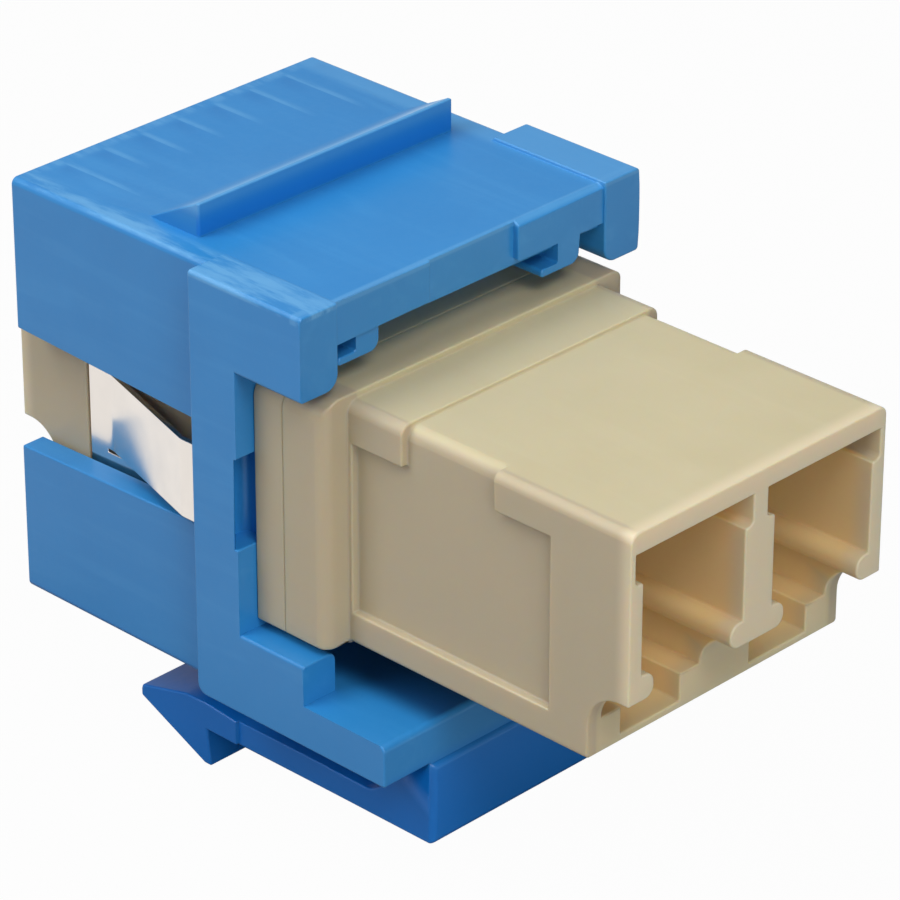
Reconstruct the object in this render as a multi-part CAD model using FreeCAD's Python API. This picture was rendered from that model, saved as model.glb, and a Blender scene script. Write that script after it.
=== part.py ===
"""Keystone-mount duplex LC fibre adapter: a blue keystone housing with its flexing
release latch, and a two-piece beige duplex adapter held in it by a sprung steel clip.

Millimetres. X runs across the two ports, +Y points out of the front of the wall
plate, +Z is up. The origin is the middle of the face that stops against the plate.
"""
import math
import os

import FreeCAD
import Part

V = FreeCAD.Vector

# ---------------------------------------------------------------- driving sizes
# keystone tube that passes through the plate
tube_w = 14.4          # width across X
tube_h = 15.86         # height across Z
tube_l = 9.6           # length in front of the plate
tube_wall = 0.9        # side, top and bottom walls
tube_edge = 0.25       # rounding of the long edges
slot_top = 2.25        # top of the open slot in each side wall, at the front
slot_bottom = -2.3     # bottom of that slot
slot_taper = 0.3       # each edge of the slot draws in by this much at the frame
# fixed catch on the top
catch_half = 5.97      # half length across X
catch_back = 1.6       # steep face, one plate thickness in front of the stop face
catch_run = 2.3        # length of the ramp
catch_rise = 1.2       # height above the tube
catch_flat = 0.14      # flat on the crest
# frame behind the plate
frame_w = 16.12        # width
frame_top = 8.05        # top of the side rails
frame_bottom = -7.9    # underside
web_t = 2.15           # thickness behind the stop face
frame_front_r = 0.4    # rounding of the lower front edge
arm_low_r = 0.55       # lower inner rounding of the arms
arm_w = 1.72           # width of each upper arm
arm_reach = 5.25       # how far the arms reach back
arm_drop = 3.08        # height of the arms
deck_t = 1.65          # top deck between the rails, flush with the tube
deck_reach = 4.9       # rear edge of the deck
deck_left_extra = 0.13 # its left part reaches back this much more
deck_split = -1.85     # where the left part ends
deck_left_thin = 0.1   # and it is this much thinner
lip_from = 2.2         # lip plate on the right part of that edge
lip_reach = 5.15
lip_below = 0.18       # lip's top below the deck
lip_t = 1.23
scoop_top = 1.8        # scoop in the web, running in under the flange
scoop_bottom = -1.6
scoop_under = 0.45     # how far it runs under the flange
# hooks under the top deck
hook_leg_w = 1.08
hook_drop = 0.8
hook_foot_t = 0.3
hook_foot_l = 0.8
hook_left_x = -4.12    # right side of the left hook's leg
hook_right_x = 5.2     # right side of the right hook's leg
# lower pads and deck
pad_w = 1.53
pad_top = -4.83
pad_reach = 5.17
lower_deck_top = -6.33
lower_deck_reach = 8.95
root_out = 0.12        # the latch's root stands out behind the deck
# latch
latch_w = 11.8
latch_t = 0.95         # thickness of the flexing arm
latch_under = -11.08   # underside of the arm
latch_slot_r = 1.1     # rounded end of the slot above the arm
latch_slot_end = -6.85
latch_pivot_y = -5.9   # where the arm bends
latch_gap = 0.02       # gap between the arm's round end and its seat
barb_back = 1.85        # steep back face of the barb
barb_drop = 1.41       # how far the barb hangs below the arm
barb_flat = 0.33       # flat under the barb
barb_lean = 0.22       # the back face leans back, so that it hooks
barb_round = 0.2
tip_y = 5.15            # tip of the latch
barb_extra = 0.13      # the barb is this much wider on each side
barb_step_y = 0.3      # where it gets wider
# adapter
pitch = 6.25           # port to port
seam_y = -3.5         # where the two halves meet
mid_z = -0.09          # middle height of the adapter
body_gap = 0.15        # between the body and the inside of the tube
body_h = 8.82
side_sink = 0.3        # sunk side panels
sunk_edge = 0.5        # rounding of the long edges between collar and mouth band
strap_sink = 0.2       # deeper on the front half, for the clip's strap
rear_l = 14.41         # seam to rear mouth
front_l = 14.18        # seam to front mouth
flange_w = 14.5
flange_up = 4.79       # flange top above the middle
flange_down = 4.43     # flange bottom below the middle
flange_rear_t = 1.95
flange_top_r = 0.8
flange_rear_r = 0.5
fit_gap = 0.01         # flange against its seat
collar_l = 2.45        # collar behind the flange
collar_up = 0.13       # collar above the mouth band
collar_start = 0.15    # the side panel starts this far behind the flange
collar_side = 1.36     # how far the collar comes down the side
panel_low = 1.15       # rim left under the side panel
band_low_l = 3.46      # rear mouth band, below
band_up_l = 5.9        # mouth bands, above
front_band_l = 3.38    # front mouth band, below
leg_recess_drop = 0.9  # the clip's recess starts this far under the front half's top
setback = 1.74         # the latch channel stops short of the mouth
setback_top = -1.79    # below the middle
setback_r = 1.4
# port, heights measured from the adapter's middle
wide_wall = 0.25       # side wall left beside the wide upper part
wide_end = 0.4         # the wide upper part ends this far short of the sunk sides
port_wall = 0.31       # side wall left under the sunk panel
port_top = 3.62
port_shoulder = 2.51
port_chamfer = 0.12
ledge_top = -0.87
ledge_low = -1.79
nose_in = 0.595        # how far each ledge stands in
chan_in = 0.065        # latch channel, narrower than the port on each side
chan_step = -3.12
slot_in = 0.93         # step between the channel and its bottom slot
floor_z = -4.13
port_floor = 12.0      # depth of the port from the mouth
axis_up = 1.35         # fibre axis above the adapter's middle
# sleeve and its barrel
sleeve_od = 1.6
sleeve_id = 1.246
sleeve_l = 6.8
sleeve_slit = 0.2
sleeve_gap = 0.03      # all round
lip_r = 0.64
barrel_r = 1.45
barrel_l = 2.9         # barrel standing out of the port floor
# retaining clip
clip_t = 0.25
clip_gap = 0.02
clip_end_gap = 0.1     # to the ends of its recess
clip_y0 = 0.6
clip_foot = -2.54       # lower end of the legs, from the middle
tongue_up = 1.39       # top of the tongue, from the middle
tongue_down = -1.56
tongue_root = 6.3
tongue_flat = 1.0      # where it turns to run along the tube again
tongue_tip = 0.1
tongue_out = 1.53      # how far the tongue stands out
window_gap = 0.12
window_up = 2.56        # top of the window above the tongue, from the middle
window_start = 1.2


# ---------------------------------------------------------------- helpers
def box(x0, x1, y0, y1, z0, z1):
    return Part.makeBox(x1 - x0, y1 - y0, z1 - z0, V(x0, y0, z0))


def outline(points):
    """Closed wire from (a, b, radius) corners in the plane of the two first values."""
    n = len(points)
    nodes = []
    for i in range(n):
        ax, az, _ = points[i - 1]
        bx, bz, r = points[i]
        cx, cz, _ = points[(i + 1) % n]
        if r <= 0:
            nodes.append(((bx, bz), None, (bx, bz)))
            continue
        u = ((ax - bx), (az - bz))
        w = ((cx - bx), (cz - bz))
        lu = math.hypot(*u)
        lw = math.hypot(*w)
        u = (u[0] / lu, u[1] / lu)
        w = (w[0] / lw, w[1] / lw)
        half = math.acos(max(-1.0, min(1.0, u[0] * w[0] + u[1] * w[1]))) / 2
        t = r / math.tan(half)
        d = r / math.sin(half)
        m = (u[0] + w[0], u[1] + w[1])
        lm = math.hypot(*m)
        m = (m[0] / lm, m[1] / lm)
        nodes.append((
            (bx + u[0] * t, bz + u[1] * t),
            (bx + m[0] * (d - r), bz + m[1] * (d - r)),
            (bx + w[0] * t, bz + w[1] * t),
        ))
    return nodes


def prism(points, place, push):
    """Extrudes an outline; place(a, b) gives the 3-D point, push the direction."""
    nodes = outline(points)
    edges = []
    for i, (start, mid, end) in enumerate(nodes):
        if mid is not None:
            edges.append(Part.Arc(place(*start), place(*mid), place(*end)).toShape())
        nxt = nodes[(i + 1) % len(nodes)][0]
        p, q = place(*end), place(*nxt)
        if p.distanceToPoint(q) > 1e-6:
            edges.append(Part.LineSegment(p, q).toShape())
    return Part.Face(Part.Wire(edges)).extrude(push)


def along_x(points, x0, x1):
    """(y, z) profile."""
    return prism(points, lambda a, b: V(x0, a, b), V(x1 - x0, 0, 0))


def along_y(points, y0, y1):
    """(x, z) profile."""
    return prism(points, lambda a, b: V(a, y0, b), V(0, y1 - y0, 0))


def along_z(points, z0, z1):
    """(x, y) profile."""
    return prism(points, lambda a, b: V(a, b, z0), V(0, 0, z1 - z0))


def rect(a0, a1, b0, b1, r=0.0):
    return [(a0, b0, r), (a1, b0, r), (a1, b1, r), (a0, b1, r)]


def rod_y(x, z, r, y0, y1):
    return Part.makeCylinder(r, y1 - y0, V(x, y0, z), V(0, 1, 0))


def mirror_x(shape):
    return shape.mirror(V(0, 0, 0), V(1, 0, 0))


def save(shape, name):
    shape = shape.removeSplitter()
    solids = shape.Solids
    if len(solids) != 1:
        raise RuntimeError("%s came out as %d solids" % (name, len(solids)))
    solid = solids[0]
    if not solid.isValid():
        raise RuntimeError("%s isn't a valid solid" % name)
    solid.exportStep("parts/%s.step" % name)
    return solid


# ---------------------------------------------------------------- derived sizes
half_w = frame_w / 2
inner_w = half_w - arm_w
tube_half = tube_w / 2
tube_top = tube_h / 2
deck_under = tube_top - deck_t
tube_low = -tube_h / 2
bore_half = tube_half - tube_wall
body_half = bore_half - body_gap
body_top = mid_z + body_h / 2
body_low = mid_z - body_h / 2
band_top = body_top
sunk_half = body_half - side_sink
strap_top = band_top - strap_sink
collar_top = band_top + collar_up
flange_half = flange_w / 2
flange_top = mid_z + flange_up
flange_low = mid_z - flange_down
flange_rear = seam_y - flange_rear_t
flange_front = -web_t - fit_gap
rear_mouth = seam_y - rear_l
front_mouth = seam_y + front_l
axis_z = mid_z + axis_up
port_x = pitch / 2
port_wide_l = min(band_low_l, front_band_l) - wide_end
port_half = body_half - side_sink - port_wall - port_x
port_half_up = body_half - wide_wall - port_x
nose_half = port_half - nose_in
chan_half = port_half - chan_in
slot_half = chan_half - slot_in
recess_up_end = front_mouth - band_up_l
recess_low_end = front_mouth - front_band_l
leg_top = band_top - leg_recess_drop
latch_half = latch_w / 2
pivot_r = latch_t / 2
pivot_z = latch_under + pivot_r
arm_top = latch_under + latch_t
root_reach = lower_deck_reach + root_out
panel_bottom = body_low + panel_low
window_half = body_half + 0.15
window_top = collar_top + 0.1
window_low = body_low - 0.15


# ---------------------------------------------------------------- keystone housing
def make_housing():
    tube = along_y(rect(-tube_half, tube_half, tube_low, tube_top, tube_edge), -web_t / 2, tube_l)
    frame = along_y([
        (-half_w, frame_bottom, 0), (half_w, frame_bottom, 0),
        (half_w, frame_top, 0.15), (inner_w, frame_top, 0),
        (inner_w, tube_top, 0), (-inner_w, tube_top, 0),
        (-inner_w, frame_top, 0), (-half_w, frame_top, 0.15)], -web_t, 0)
    frame = frame.common(along_x([
        (-web_t, frame_bottom, 0), (0, frame_bottom, frame_front_r), (0, frame_top + 1, 0),
        (-web_t, frame_top + 1, 0)], -half_w, half_w))
    body = tube.fuse(frame)

    # upper arms, with the rails on top of them
    arm = along_y([
        (-half_w, frame_top - arm_drop, 0.15), (-half_w + arm_w, frame_top - arm_drop, arm_low_r),
        (-half_w + arm_w, frame_top, 0), (-half_w, frame_top, 0.15)], -arm_reach, -web_t / 2)
    body = body.fuse([arm, mirror_x(arm)])
    left_deck = box(-inner_w - 0.4, deck_split, -deck_reach - deck_left_extra, -web_t / 2,
                    deck_under + deck_left_thin, tube_top)
    deck = box(deck_split, inner_w + 0.4, -deck_reach, -web_t / 2, deck_under, tube_top)
    lip_top = tube_top - lip_below
    lip = box(lip_from, inner_w + 0.4, -lip_reach, -deck_reach + 0.5, lip_top - lip_t, lip_top)
    body = body.fuse([left_deck, deck, lip])

    # the two hooks under the deck turn the same way
    foot_top = deck_under - hook_drop + hook_foot_t
    for x, reach in ((hook_left_x, deck_reach), (hook_right_x, lip_reach)):
        leg = x - hook_leg_w
        hook = along_y([
            (x, deck_under + 0.4, 0), (x, deck_under - hook_drop, 0.4),
            (leg - hook_foot_l, deck_under - hook_drop, 0.12), (leg - hook_foot_l, foot_top, 0.12),
            (leg, foot_top, 0.1), (leg, deck_under + 0.4, 0)], -reach, -web_t / 2)
        body = body.fuse(hook)

    # lower pads and deck
    pad = along_y([
        (-half_w, lower_deck_top - 0.3, 0), (-half_w + pad_w, lower_deck_top - 0.3, 0),
        (-half_w + pad_w, pad_top, 0.35), (-half_w, pad_top, 0.12)], -pad_reach, -web_t / 2)
    floor = along_x([
        (-lower_deck_reach, frame_bottom, 0.1), (-web_t / 2, frame_bottom, 0),
        (-web_t / 2, lower_deck_top, 0), (-lower_deck_reach, lower_deck_top, 0.25)], -half_w, half_w)
    body = body.fuse([pad, mirror_x(pad), floor])

    # fixed catch
    catch = along_x([
        (catch_back, tube_top - 0.3, 0), (catch_back + catch_flat + catch_run, tube_top - 0.3, 0),
        (catch_back + catch_flat + catch_run, tube_top, 0),
        (catch_back + catch_flat, tube_top + catch_rise, 0.05),
        (catch_back, tube_top + catch_rise, 0.05)], -catch_half, catch_half)
    body = body.fuse(catch)

    # root of the latch under the lower deck, with the round end of its slot
    root_y = latch_pivot_y - 0.2
    root = along_x([
        (-root_reach, latch_under, 0.2), (root_y, latch_under, 0),
        (root_y, frame_bottom + 0.3, 0), (-lower_deck_reach, frame_bottom + 0.3, 0),
        (-lower_deck_reach, frame_bottom, 0), (-root_reach, frame_bottom, 0.06)],
        -latch_half, latch_half)
    slot_c = latch_slot_end + latch_slot_r
    slot_mid = arm_top + latch_slot_r
    root = root.cut(Part.makeCylinder(latch_slot_r, latch_w + 2, V(-latch_half - 1, slot_c, slot_mid), V(1, 0, 0)))
    root = root.cut(box(-latch_half - 1, latch_half + 1, slot_c - latch_slot_r, root_y + 1, slot_mid, frame_bottom))
    root = root.cut(Part.makeCylinder(pivot_r + latch_gap, latch_w + 2,
                                      V(-latch_half - 1, latch_pivot_y, pivot_z), V(1, 0, 0)))
    body = body.fuse(root)

    # inside of the tube and window through the web
    body = body.cut(along_y(rect(-bore_half, bore_half, tube_low + tube_wall, tube_top - tube_wall, 0.3),
                            0, tube_l + 1))
    body = body.cut(box(-window_half, window_half, -web_t - 1, 1, window_low, window_top))
    # open slots in the side walls
    slope = slot_taper / tube_l
    side_slot = along_x([
        (0, slot_bottom + slot_taper, 0), (tube_l + 1, slot_bottom - slope, 0),
        (tube_l + 1, slot_top + slope, 0), (0, slot_top - slot_taper, 0)], -tube_half - 1, -bore_half + 0.1)
    body = body.cut([side_slot, mirror_x(side_slot)])
    # scoops in the web beside the flange
    scoop = along_z([
        (-half_w - 1, -web_t - 0.85, 0), (-half_w + 0.02, -web_t + 0.14, 0),
        (-flange_half - 0.15, -web_t + 0.9, 0), (-flange_half + scoop_under, -web_t + 0.9, 0.3),
        (-flange_half + scoop_under, -web_t - 1, 0), (-half_w - 1, -web_t - 1, 0)],
        scoop_bottom, scoop_top)
    body = body.cut([scoop, mirror_x(scoop)])
    return save(body, "keystone_housing")


# ---------------------------------------------------------------- release latch
def make_latch():
    arm = along_x([
        (latch_pivot_y, latch_under, 0), (barb_back, latch_under, 0),
        (barb_back, arm_top, 0), (latch_pivot_y, arm_top, 0)], -latch_half, latch_half)
    end = Part.makeCylinder(pivot_r, latch_w, V(-latch_half, latch_pivot_y, pivot_z), V(1, 0, 0))
    low = latch_under - barb_drop
    wide = latch_half + barb_extra
    head = along_x([
        (barb_step_y, latch_under, 0), (barb_back, latch_under, 0),
        (barb_back - barb_lean, low, 0.05), (barb_back - barb_lean + barb_flat, low, barb_round),
        (tip_y, latch_under + 0.08, 0.2), (tip_y - 0.02, latch_under + 0.48, 0.15),
        (tip_y - 2.3, arm_top + 0.1, 0.4), (barb_back, arm_top + 0.13, 0),
        (barb_step_y, arm_top, 0)], -wide, wide)
    return save(arm.fuse([end, head]), "release_latch")


# ---------------------------------------------------------------- adapter halves
def port_hollow(x, mouth, floor):
    """Hollow of one port: plug cavity, two ledges, latch channel and the wide upper mouth."""
    m = mid_z
    way = math.copysign(1.0, mouth - floor)
    y0, y1 = sorted((floor, mouth + way))
    right = [
        (x + slot_half, m + floor_z, 0), (x + slot_half, m + chan_step, 0),
        (x + chan_half, m + chan_step, 0), (x + chan_half, m + ledge_low, 0),
        (x + nose_half, m + ledge_low, 0.42), (x + nose_half, m + ledge_top, 0.42),
        (x + port_half, m + ledge_top, 0), (x + port_half, m + port_top, 0)]
    left = [(2 * x - a, b, r) for a, b, r in reversed(right)]
    hollow = along_y(right + left, y0, y1)
    y0, y1 = sorted((mouth - way * port_wide_l, mouth + way))
    wide = along_y([
        (x - port_half_up, m + port_top, 0), (x - port_half_up, m + port_shoulder + port_chamfer, 0),
        (x - port_half_up + port_chamfer, m + port_shoulder, 0), (x + port_half_up - port_chamfer, m + port_shoulder, 0),
        (x + port_half_up, m + port_shoulder + port_chamfer, 0), (x + port_half_up, m + port_top, 0)], y0, y1)
    return hollow.fuse(wide)


def half_body(y0, y1):
    return along_y([
        (-body_half, body_low, 0.15), (body_half, body_low, 0.15),
        (body_half, band_top, 0.35), (-body_half, band_top, 0.35)], y0, y1)


def flange(y0, y1, back_r):
    block = along_y([
        (-flange_half, flange_low, 0.12), (flange_half, flange_low, 0.12),
        (flange_half, flange_top, flange_top_r), (-flange_half, flange_top, flange_top_r)], y0, y1)
    if back_r > 0:
        keep = along_z([
            (-flange_half, y1 + 1, 0), (flange_half, y1 + 1, 0),
            (flange_half, y0, back_r), (-flange_half, y0, back_r)], flange_low - 1, flange_top + 1)
        block = block.common(keep)
    return block


def sunk_zone(y0, y1, low, sink):
    """What is taken away outside the sunk sides and top between y0 and y1."""
    shell = box(-body_half - 1, body_half + 1, y0, y1, low, collar_top + 1)
    core = along_y([
        (-sunk_half, low - 1, 0), (sunk_half, low - 1, 0),
        (sunk_half, band_top - sink, sunk_edge), (-sunk_half, band_top - sink, sunk_edge)], y0 - 1, y1 + 1)
    return shell.cut(core)


def side_zone(y0, y1, z0, z1):
    left = box(-body_half - 1, -sunk_half, y0, y1, z0, z1)
    return [left, mirror_x(left)]


def setback_cut(y_in, y_out):
    """Takes the latch channel back from the mouth, with a soft inner corner."""
    top = mid_z + setback_top
    far = y_out + math.copysign(1.0, y_out - y_in)
    return along_x([
        (y_in, body_low - 1, 0), (y_in, top, setback_r), (far, top, 0), (far, body_low - 1, 0)],
        -body_half - 1, body_half + 1)


def bores(solid, y_seam, toward, y_floor):
    """Barrels with the sleeve's seat and the entry lip; toward is -1 or 1."""
    for x in (-port_x, port_x):
        tip = y_floor + toward * barrel_l
        barrel = rod_y(x, axis_z, barrel_r, min(y_floor - toward * 0.5, tip), max(y_floor - toward * 0.5, tip))
        solid = solid.fuse(barrel)
        seat = y_seam + toward * (sleeve_l / 2 + 0.05)
        solid = solid.cut(rod_y(x, axis_z, sleeve_od / 2 + sleeve_gap, min(y_seam - toward, seat), max(y_seam - toward, seat)))
        out = tip + toward
        solid = solid.cut(rod_y(x, axis_z, lip_r, min(seat, out), max(seat, out)))
    return solid


def make_rear():
    y_floor = rear_mouth + port_floor
    solid = half_body(rear_mouth, seam_y)
    solid = solid.fuse(flange(flange_rear, seam_y, flange_rear_r))
    collar = along_y([
        (-body_half, band_top - collar_side, 0), (body_half, band_top - collar_side, 0),
        (body_half, collar_top, 0.4), (-body_half, collar_top, 0.4)],
        flange_rear - collar_l, flange_rear + 0.5)
    solid = solid.fuse(collar)
    collar_end = flange_rear - collar_l
    solid = solid.cut(side_zone(rear_mouth + band_low_l, flange_rear - collar_start, panel_bottom, band_top - collar_side))
    solid = solid.cut(sunk_zone(rear_mouth + band_up_l, collar_end, panel_bottom, 0))
    for x in (-port_x, port_x):
        solid = solid.cut(port_hollow(x, rear_mouth, y_floor))
    solid = solid.cut(setback_cut(rear_mouth + setback, rear_mouth))
    solid = bores(solid, seam_y, -1, y_floor)
    return save(solid, "adapter_rear_half")


def make_front():
    y_floor = front_mouth - port_floor + 0.7
    solid = half_body(seam_y, front_mouth)
    solid = solid.fuse(flange(seam_y, flange_front, 0))
    solid = solid.cut(sunk_zone(0.1, recess_up_end, panel_bottom, strap_sink))
    solid = solid.cut(side_zone(0.1, recess_low_end, panel_bottom, leg_top))
    for x in (-port_x, port_x):
        solid = solid.cut(port_hollow(x, front_mouth, y_floor))
    solid = solid.cut(setback_cut(front_mouth - setback, front_mouth))
    solid = bores(solid, seam_y, 1, y_floor)
    return save(solid, "adapter_front_half")


# ---------------------------------------------------------------- sleeves
def make_sleeve(x, name):
    y0 = seam_y - sleeve_l / 2
    tube = rod_y(x, axis_z, sleeve_od / 2, y0, y0 + sleeve_l)
    tube = tube.cut(rod_y(x, axis_z, sleeve_id / 2, y0 - 1, y0 + sleeve_l + 1))
    slit = box(x - sleeve_slit / 2, x + sleeve_slit / 2, y0 - 1, y0 + sleeve_l + 1, axis_z, axis_z + sleeve_od)
    return save(tube.cut(slit), name)


# ---------------------------------------------------------------- retaining clip
def make_clip():
    inner = sunk_half + clip_gap
    outer = inner + clip_t
    top = strap_top + clip_gap
    foot = mid_z + clip_foot
    strap = along_y([
        (-outer, foot, 0), (-inner, foot, 0), (-inner, top, sunk_edge), (inner, top, sunk_edge),
        (inner, foot, 0), (outer, foot, 0), (outer, top + clip_t, sunk_edge + clip_t),
        (-outer, top + clip_t, sunk_edge + clip_t)], clip_y0, recess_up_end - clip_end_gap)
    leg = box(-outer, -inner, clip_y0, recess_low_end - clip_end_gap, foot, leg_top - clip_end_gap)
    clip = strap.fuse([leg, mirror_x(leg)])
    z0, z1 = mid_z + tongue_down, mid_z + tongue_up
    window = box(-outer - 1, -inner + 1, window_start, tongue_root + 0.05, z0 - window_gap, mid_z + window_up)
    clip = clip.cut([window, mirror_x(window)])
    out = outer + tongue_out
    tongue = along_z([
        (-outer, tongue_root + 0.3, 0), (-inner, tongue_root + 0.3, 0),
        (-inner, tongue_root - 0.15, 0.6), (-out + clip_t, tongue_flat + 0.06, 0.6),
        (-out + clip_t, tongue_tip, 0), (-out, tongue_tip, 0.08),
        (-out, tongue_flat, 0.8), (-outer, tongue_root - 0.2, 0.85)], z0, z1)
    clip = clip.fuse([tongue, mirror_x(tongue)])
    return save(clip, "retaining_clip")


os.makedirs("parts", exist_ok=True)
made = {
    "keystone_housing": make_housing(),
    "release_latch": make_latch(),
    "adapter_rear_half": make_rear(),
    "adapter_front_half": make_front(),
    "left_alignment_sleeve": make_sleeve(-port_x, "left_alignment_sleeve"),
    "right_alignment_sleeve": make_sleeve(port_x, "right_alignment_sleeve"),
    "retaining_clip": make_clip(),
}
for name, solid in made.items():
    b = solid.BoundBox
    print("%-24s %8.2f mm3  x %.2f..%.2f  y %.2f..%.2f  z %.2f..%.2f" % (
        name, solid.Volume, b.XMin, b.XMax, b.YMin, b.YMax, b.ZMin, b.ZMax))
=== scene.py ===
# %% [markdown]
# # A keystone fibre adapter, dressed for its portrait
#
# The object is a small plug-in for a wall plate. A blue plastic housing snaps into
# the plate, and a beige coupler sits inside it, where two fibre plugs meet nose to nose.
# This file takes the plain engineering solids as a fixed frame and gives them the
# softened edges, moulded plastic and spring steel of the real thing. It is written as
# a notebook: each step is explained first and then done.
#
# We begin with the library that loads the frame. Every length in Blender is in
# metres here, so a helper turns millimetres into metres and keeps the numbers readable.

import math

import bpy
from mathutils import Matrix, Vector


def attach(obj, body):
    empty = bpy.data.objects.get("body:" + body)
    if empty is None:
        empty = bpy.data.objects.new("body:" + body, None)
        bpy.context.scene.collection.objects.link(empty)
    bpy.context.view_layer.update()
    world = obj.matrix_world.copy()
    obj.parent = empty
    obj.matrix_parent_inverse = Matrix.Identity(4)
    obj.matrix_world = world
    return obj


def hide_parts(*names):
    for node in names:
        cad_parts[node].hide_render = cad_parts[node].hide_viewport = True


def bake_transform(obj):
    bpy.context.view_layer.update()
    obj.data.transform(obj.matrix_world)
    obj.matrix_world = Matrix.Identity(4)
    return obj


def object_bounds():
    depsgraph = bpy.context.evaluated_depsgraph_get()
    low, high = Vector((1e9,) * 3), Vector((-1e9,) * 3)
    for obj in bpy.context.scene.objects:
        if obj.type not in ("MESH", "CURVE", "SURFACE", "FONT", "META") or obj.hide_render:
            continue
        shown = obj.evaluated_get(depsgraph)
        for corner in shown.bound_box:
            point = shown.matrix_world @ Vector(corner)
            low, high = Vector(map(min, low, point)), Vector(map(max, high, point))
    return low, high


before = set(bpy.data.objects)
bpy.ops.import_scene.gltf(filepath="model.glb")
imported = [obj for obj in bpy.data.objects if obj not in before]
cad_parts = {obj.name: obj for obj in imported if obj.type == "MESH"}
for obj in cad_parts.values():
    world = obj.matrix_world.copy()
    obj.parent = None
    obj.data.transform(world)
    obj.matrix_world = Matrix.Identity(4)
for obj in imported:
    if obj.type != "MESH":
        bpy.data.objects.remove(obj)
bpy.context.scene.view_settings.view_transform = "Standard"
cad_low, cad_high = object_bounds()
print("size in mm:", [round((b - a) * 1000, 2) for a, b in zip(cad_low, cad_high)])


def mm(*values):
    """Millimetres to metres: one number, or a vector from three."""
    scaled = [v / 1000 for v in values]
    return scaled[0] if len(scaled) == 1 else Vector(scaled)


# %% [markdown]
# ## Camera
#
# A long lens from some way off keeps the edges nearly parallel, which suits a small
# engineered part. The camera looks down from behind and to the left, so that the top,
# the left side and the two open ports all show. Its three axes are written as the
# columns of a rotation matrix, which is exact and doesn't depend on a target object.

# %% Camera
def aim(azimuth, elevation, roll):
    """Rotation of a camera that stands at azimuth and elevation and looks back."""
    a, e = math.radians(azimuth), math.radians(elevation)
    back = Vector((math.sin(a) * math.cos(e), -math.cos(a) * math.cos(e), math.sin(e)))
    right = Vector((math.cos(a), math.sin(a), 0))
    up = back.cross(right)
    turn = Matrix((right, up, back)).transposed()
    return turn @ Matrix.Rotation(math.radians(roll), 3, "Z")


eye = mm(-106.4, -107.4, 79.1)
turned = aim(azimuth=-45.85, elevation=28.12, roll=0.06)
lens = bpy.data.cameras.new("portrait_lens")
lens.sensor_width = 36
lens.lens = 199.2
lens.clip_start, lens.clip_end = 0.005, 5
camera = bpy.data.objects.new("portrait_camera", lens)
camera.matrix_world = Matrix.Translation(eye) @ turned.to_4x4()
bpy.context.collection.objects.link(camera)
bpy.context.scene.camera = camera
print("camera:", round(eye.length * 1000), "mm away, lens", round(lens.lens, 1))

# %% [markdown]
# ## A shorthand for shader nodes
#
# Materials, floor and world are all node trees, and building one in code means adding
# nodes, setting their sockets and linking them, over and over. `node` does the three
# at once. `calc` is the same for a Math node, and takes numbers and sockets alike.
# `ramp` turns a place along one axis into a value from 0 to 1.

# %% Node helpers
def node(tree, kind, settings=None, values=None, feeds=None):
    """Adds a node, sets its settings and socket values, and links what feeds it."""
    made = tree.nodes.new(kind)
    for key, value in (settings or {}).items():
        setattr(made, key, value)
    for key, value in (values or {}).items():
        made.inputs[key].default_value = value
    for key, socket in (feeds or {}).items():
        tree.links.new(socket, made.inputs[key])
    return made


def calc(tree, operation, *terms, clamp=False):
    """The output of a Math node; each term is a number or a socket."""
    made = node(tree, "ShaderNodeMath", {"operation": operation, "use_clamp": clamp})
    for slot, term in enumerate(terms):
        if isinstance(term, (int, float)):
            made.inputs[slot].default_value = term
        else:
            tree.links.new(term, made.inputs[slot])
    return made.outputs[0]


def ramp(tree, source, low, high, kind="SMOOTHSTEP"):
    """0 at low, 1 at high; low may be the larger. SMOOTHSTEP eases both ends."""
    return node(tree, "ShaderNodeMapRange", {"interpolation_type": kind},
                values={"From Min": low, "From Max": high},
                feeds={"Value": source}).outputs[0]


# %% [markdown]
# ## Floor and backdrop
#
# The floor is a pale sheet at the object's lowest point that keeps a faint shadow.
# For rays from the camera, and for reflections, most of it is plain white light, and
# the rest is an ordinary matt surface: that is what a white sweep looks like in
# a studio. One helper mixes the two, since the world behind does the same.

# %% White for the eye
def white_for_the_eye(tree, real, white, share, in_gloss):
    """Mixes the real shader with a white one for camera and transmission rays.
    in_gloss, from 0 to 1, is how much of the white glossy rays see."""
    rays = node(tree, "ShaderNodeLightPath").outputs
    glossy = calc(tree, "MULTIPLY", rays["Is Glossy Ray"], in_gloss)
    seen = calc(tree, "MAXIMUM", rays["Is Camera Ray"], glossy)
    either = calc(tree, "MAXIMUM", seen, rays["Is Transmission Ray"])
    amount = calc(tree, "MULTIPLY", either, share)
    return node(tree, "ShaderNodeMixShader",
                feeds={0: amount, 1: real.outputs[0], 2: white.outputs[0]}).outputs[0]


# %% [markdown]
# Reflections need some care. Right under the object the sheet should look dark to the
# glossy plastic, as a shaded floor does, or the low walls turn milky. Further out it
# is white again, like cards set up round the object: one to the left, one in front
# and one behind. Three straight ramps on the floor's own coordinates draw them.

# %% The sheet and its cards
paper_grey = 0.28        # how much light the matt part gives back
white_share = 0.975      # the rest is matt and takes the shadow
gap_below = mm(0.05)     # between the object and the sheet

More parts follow.
